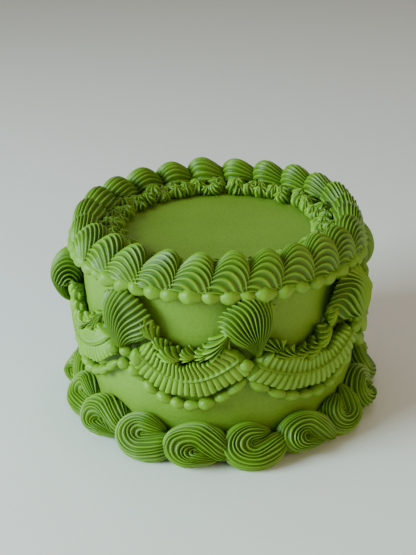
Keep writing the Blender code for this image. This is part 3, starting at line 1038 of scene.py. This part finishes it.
@dataclass
class BeadSwag:
    """The beads that hang under a ruffle, with the beads that tie two swags together.

    Args:
        beads: how many hang in a swag.
        stand: how far a bead's middle stands off the wall.
        joint_radius: a tying bead's radius.
        joint_stand: how far its middle stands off the wall.
        joints: the tying bead's degrees from the fan, its height and how tall it is for its width.
        extra: more tying beads, for the swags that have them.
        line: the line that the beads hang in.
        shape: a bead's form.
    """

    beads: int = 8
    stand: float = 0.0034
    joint_radius: float = 0.0036
    joint_stand: float = 0.0062
    joints: tuple[Triple, ...] = ((-3.0, 0.0568, 1.0),)
    extra: dict[int, tuple[Triple, ...]] = field(default_factory=lambda: {
        0: ((2.3, 0.0500, 0.95), (7.0, 0.0480, 1.0), (8.4, 0.0560, 1.5), (3.6, 0.0580, 0.8))})
    line: SwagLine = SwagLine(22.5, 0.0314, 0.0156, {
        0: (1.5, 0.0020, 0.0, 0.0), 1: (-4.0, -0.0010, 0.0, -0.0035)})
    shape: BeadShape = BeadShape(0.0090, 0.0064, 0.0070, 0.86)

    def build(self, index: int) -> Item:
        """Presses one swag's beads."""
        deselect()
        model = self.shape.model("swag_bead")
        beads = []
        for place in range(self.beads):
            number = index * self.beads + place
            size = 1.0 + 0.18 * uneven(number, 14)
            stretch = 1.0 + 0.14 * uneven(number, 15)
            share = -1.0 + 2.0 * (place + 0.5 + 0.08 * uneven(number, 16)) / self.beads
            points = positions(model)
            points *= 1.0 + 0.025 * np.sin(900.0 * points[:, [1, 2, 0]] + number)
            across, inward, up = points.T
            beads.append(press(model, f"swag_bead_{number}", self.line.place(
                index, share + across * stretch / self.line.reach, up * size, self.stand - inward * size)))
        box = np.array([self.shape.length, self.shape.depth, self.shape.height])
        across, inward, up = (positions(model) / box * 2.0 * self.joint_radius).T
        for place, (turn, height, tall) in enumerate(self.joints + self.extra.get(index, ())):
            angle = FIRST_FAN + FAN_STEP * index + math.radians(turn)
            beads.append(press(model, f"joint_bead_{index}_{place}", round_the_cake(
                angle, across, CAKE_RADIUS + self.joint_stand - inward, height + tall * up)))
        bpy.data.objects.remove(model, do_unlink=True)
        return join(f"bead_line_{index + 1}", beads)


# The foot


@dataclass
class FootShells:
    """The large shells round the foot, each bent like a hairpin round an eye."""

    count: int = 18
    first: float = math.radians(-48.5)
    centre_radius: float = 0.0836
    centre_height: float = 0.0092
    tilt: float = math.radians(38.0)
    reach: float = 0.0150
    depth: float = 0.0104
    start_leg: float = 0.0088
    tail_leg: float = 0.0158
    tail_sag: float = 0.0045
    stretch: float = 1.26
    turn_from: float = 0.20
    turn_to: float = 0.64
    gather: float = 0.30
    wall_gap: float = 0.0002
    rings: int = 46
    turns: tuple[float, ...] = (0.0, 0.05, -0.15, 0.10, -0.40, 0.80)
    sizes: tuple[float, ...] = (0.98, 1.03, 1.0, 1.02, 0.90, 0.95)
    side_tuck: float = 0.0038
    tip: Tip = Tip(ridges=17, depth=0.24, crispness=2.2)

    def shell(self, index: int) -> Item:
        """One shell on the corner of wall and floor.

        Args:
            index: which shell it is. They go over and under their eyes by turns.

        Returns:
            The shell in its place.
        """
        curl = Curl.UNDER if index % 2 else Curl.OVER
        angle = self.first + 2.0 * math.pi * index / self.count
        size = (1.10 if curl is Curl.OVER else 0.98) * (
            self.sizes[index] if index < len(self.sizes) else 0.97 + 0.04 * uneven(index, 13))
        turn = self.turns[index] if index < len(self.turns) else 0.45 * uneven(index, 17)
        centre_radius = self.centre_radius - self.side_tuck * math.sin(angle) ** 2
        reach = self.reach * size
        roll, start_width, eye_climb = (3.0, 0.52, -0.0022) if curl is Curl.OVER else (0.5, 0.84, 0.0010)

        def form(along: Array, around: Array, crest: Array) -> Array:
            """Ridges come in from the right, turn round the eye and leave to the right as a tail."""
            waver = 0.06 * np.sin(4.0 * around + 7.0 * along + 1.9 * index)
            face = drawn_together(around + roll * (0.5 - along), self.gather) + waver
            share = 0.5 + 0.5 * np.sin(face)
            coming = progress(along, self.turn_from, 0.0)
            turning = progress(along, self.turn_from, self.turn_to)
            leaving = progress(along, self.turn_to, 1.0)
            bearing = math.pi * (0.5 + turning)
            width = start_width + (1.0 - start_width) * held(1.7 * turning) ** 0.8
            width = width * (1.0 - 0.40 * coming ** 1.3 - 0.14 * leaving ** 1.5)
            ends = held(swell(along, 0.30, 0.45) * 1.3)
            outer = reach * width * self.tip.cut(crest, 0.7 * share ** 4)
            inner = -0.14 * reach * leaving ** 0.7
            from_eye = inner + (outer - inner) * (0.5 + (share - 0.5) * ends)
            right = from_eye * np.cos(bearing) + self.start_leg * coming + self.tail_leg * leaving
            up = from_eye * np.sin(bearing) + self.tail_sag * leaving ** 1.5
            right, up = (right * math.cos(turn) - up * math.sin(turn) * curl.value,
                         up * math.cos(turn) + right * math.sin(turn) * curl.value)
            bulge = np.cos(face)
            bulge = np.where(bulge > 0.0, np.maximum(bulge, 0.72 * held(-np.sin(face))), bulge)
            lift = self.depth * size * ends * bulge * self.tip.cut(crest)
            lift = lift * (1.0 - 0.35 * coming - 0.30 * leaving)
            climb = curl.value * up + eye_climb
            out = centre_radius - climb * math.sin(self.tilt) + lift * math.cos(self.tilt)
            height = self.centre_height + climb * math.cos(self.tilt) + lift * math.sin(self.tilt)
            return round_the_cake(angle, self.stretch * right * CAKE_RADIUS / self.centre_radius,
                                  np.maximum(out, CAKE_RADIUS + self.wall_gap), np.maximum(height, 0.0))

        return stroke(f"foot_shell_{index}", self.tip, self.rings, form)

    def build(self) -> Item:
        """Pipes the whole ring."""
        return join("foot_shells", [self.shell(index) for index in range(self.count)])


# Floor, light and camera


@dataclass(frozen=True)
class Softbox:
    """A large soft light."""

    name: str
    place: Triple
    size: float
    power: float
    colour: Triple
    aim: Triple = (0.0, 0.0, 0.05)

    def hang(self) -> None:
        """Hangs the light and turns it to what it lights."""
        data = bpy.data.lights.new(self.name, "AREA")
        data.shape = "SQUARE"
        data.size = self.size
        data.energy = self.power
        data.color = self.colour
        lamp = bpy.data.objects.new(self.name, data)
        bpy.context.scene.collection.objects.link(lamp)
        lamp.location = self.place
        lamp.rotation_euler = (Vector(self.aim) - Vector(self.place)).to_track_quat("-Z", "Y").to_euler()


@dataclass
class Studio:
    """A pale floor, a broad window on the left, a warm fill on the right and the photograph's camera."""

    floor_size: float = 6.0
    floor_colour: Quad = (0.86, 0.84, 0.83, 1.0)
    sky: Quad = (1.0, 0.95, 0.74, 1.0)
    sky_strength: float = 0.27
    focal: float = 1043.0
    frame_width: float = 416.0
    distance: float = 7.88
    elevation: float = math.radians(27.0)
    roll: float = math.radians(-1.05)
    aim_right: float = -0.011
    aim_up: float = 0.033
    aim_height: float = 0.6
    lights: tuple[Softbox, ...] = (
        Softbox("window", (-0.975, -0.40, 0.50), 0.6, 26.5, (0.70, 0.98, 1.0)),
        Softbox("ceiling", (0.05, 0.45, 1.25), 1.0, 3.0, (1.0, 0.92, 1.0)),
        Softbox("fill", (0.94, -0.76, 0.28), 1.0, 6.4, (1.0, 0.82, 0.34)))

    def build(self) -> None:
        """Sets everything up."""
        self._floor()
        self._world()
        for light in self.lights:
            light.hang()
        self._camera()

    def _floor(self) -> None:
        """The pale floor."""
        deselect()
        bpy.ops.mesh.primitive_plane_add(size=self.floor_size, location=(0.0, 0.0, -0.0001))
        floor = bpy.context.object
        floor.name = "floor"
        shader = Shader("floor_paint")
        shader.feed("Base Color", self.floor_colour)
        shader.feed("Roughness", 0.7)
        floor.data.materials.append(shader.material)

    def _world(self) -> None:
        """Even light from all round."""
        world = bpy.data.worlds.new("studio")
        bpy.context.scene.world = world
        world.use_nodes = True
        background = world.node_tree.nodes["Background"]
        background.inputs["Color"].default_value = self.sky
        background.inputs["Strength"].default_value = self.sky_strength

    def _camera(self) -> None:
        """The camera where the photograph was taken from."""
        slope, rise = math.cos(self.elevation), math.sin(self.elevation)
        centre = Vector((0.0, -slope * self.distance, self.aim_height + rise * self.distance)) * CAKE_RADIUS
        ahead = Vector((0.0, slope, -rise))
        right = Vector((1.0, 0.0, 0.0))
        ahead = (ahead + self.aim_right * right + self.aim_up * right.cross(ahead)).normalized()
        level = ahead.cross(Vector((0.0, 0.0, 1.0))).normalized()
        upright = level.cross(ahead)
        rolled = math.cos(self.roll) * level + math.sin(self.roll) * upright
        upright = math.cos(self.roll) * upright - math.sin(self.roll) * level
        data = bpy.data.cameras.new("camera")
        data.sensor_fit = "HORIZONTAL"
        data.sensor_width = 36.0
        data.lens = self.focal / self.frame_width * data.sensor_width
        camera = bpy.data.objects.new("camera", data)
        bpy.context.scene.collection.objects.link(camera)
        turned = Matrix((rolled, upright, -ahead)).transposed().to_4x4()
        camera.matrix_world = Matrix.Translation(centre) @ turned
        bpy.context.scene.camera = camera


def main() -> None:
    """Builds the dressed cake and its studio."""
    logging.basicConfig(level=logging.INFO, format="%(name)s: %(message)s")
    dresser = Dresser(SMOOTH_GREEN.smooth(), PIPED_GREEN.piped())
    deselect()
    dresser.dress(Drum().build(), "cake_body", slot=Slot.SMOOTH, crease=40.0)
    dresser.dress(RimRope().build(), "top_shell_border")
    dresser.dress(InnerRosettes().build(), "inner_star_border")
    dresser.dress(RimBeads().build(), "top_bead_border")
    lines = {"star_garland": Garland(), "ruffle_swag": Ruffle(), "bead_swag": BeadSwag()}
    for index, fan in enumerate(FANS):
        for node, piped in {"fan_shell": fan, **lines}.items():
            dresser.dress(piped.build(index), f"{node}_{index + 1}")
    dresser.dress(FootShells().build(), "bottom_shell_border")
    Studio().build()


if __name__ == "__main__":
    main()
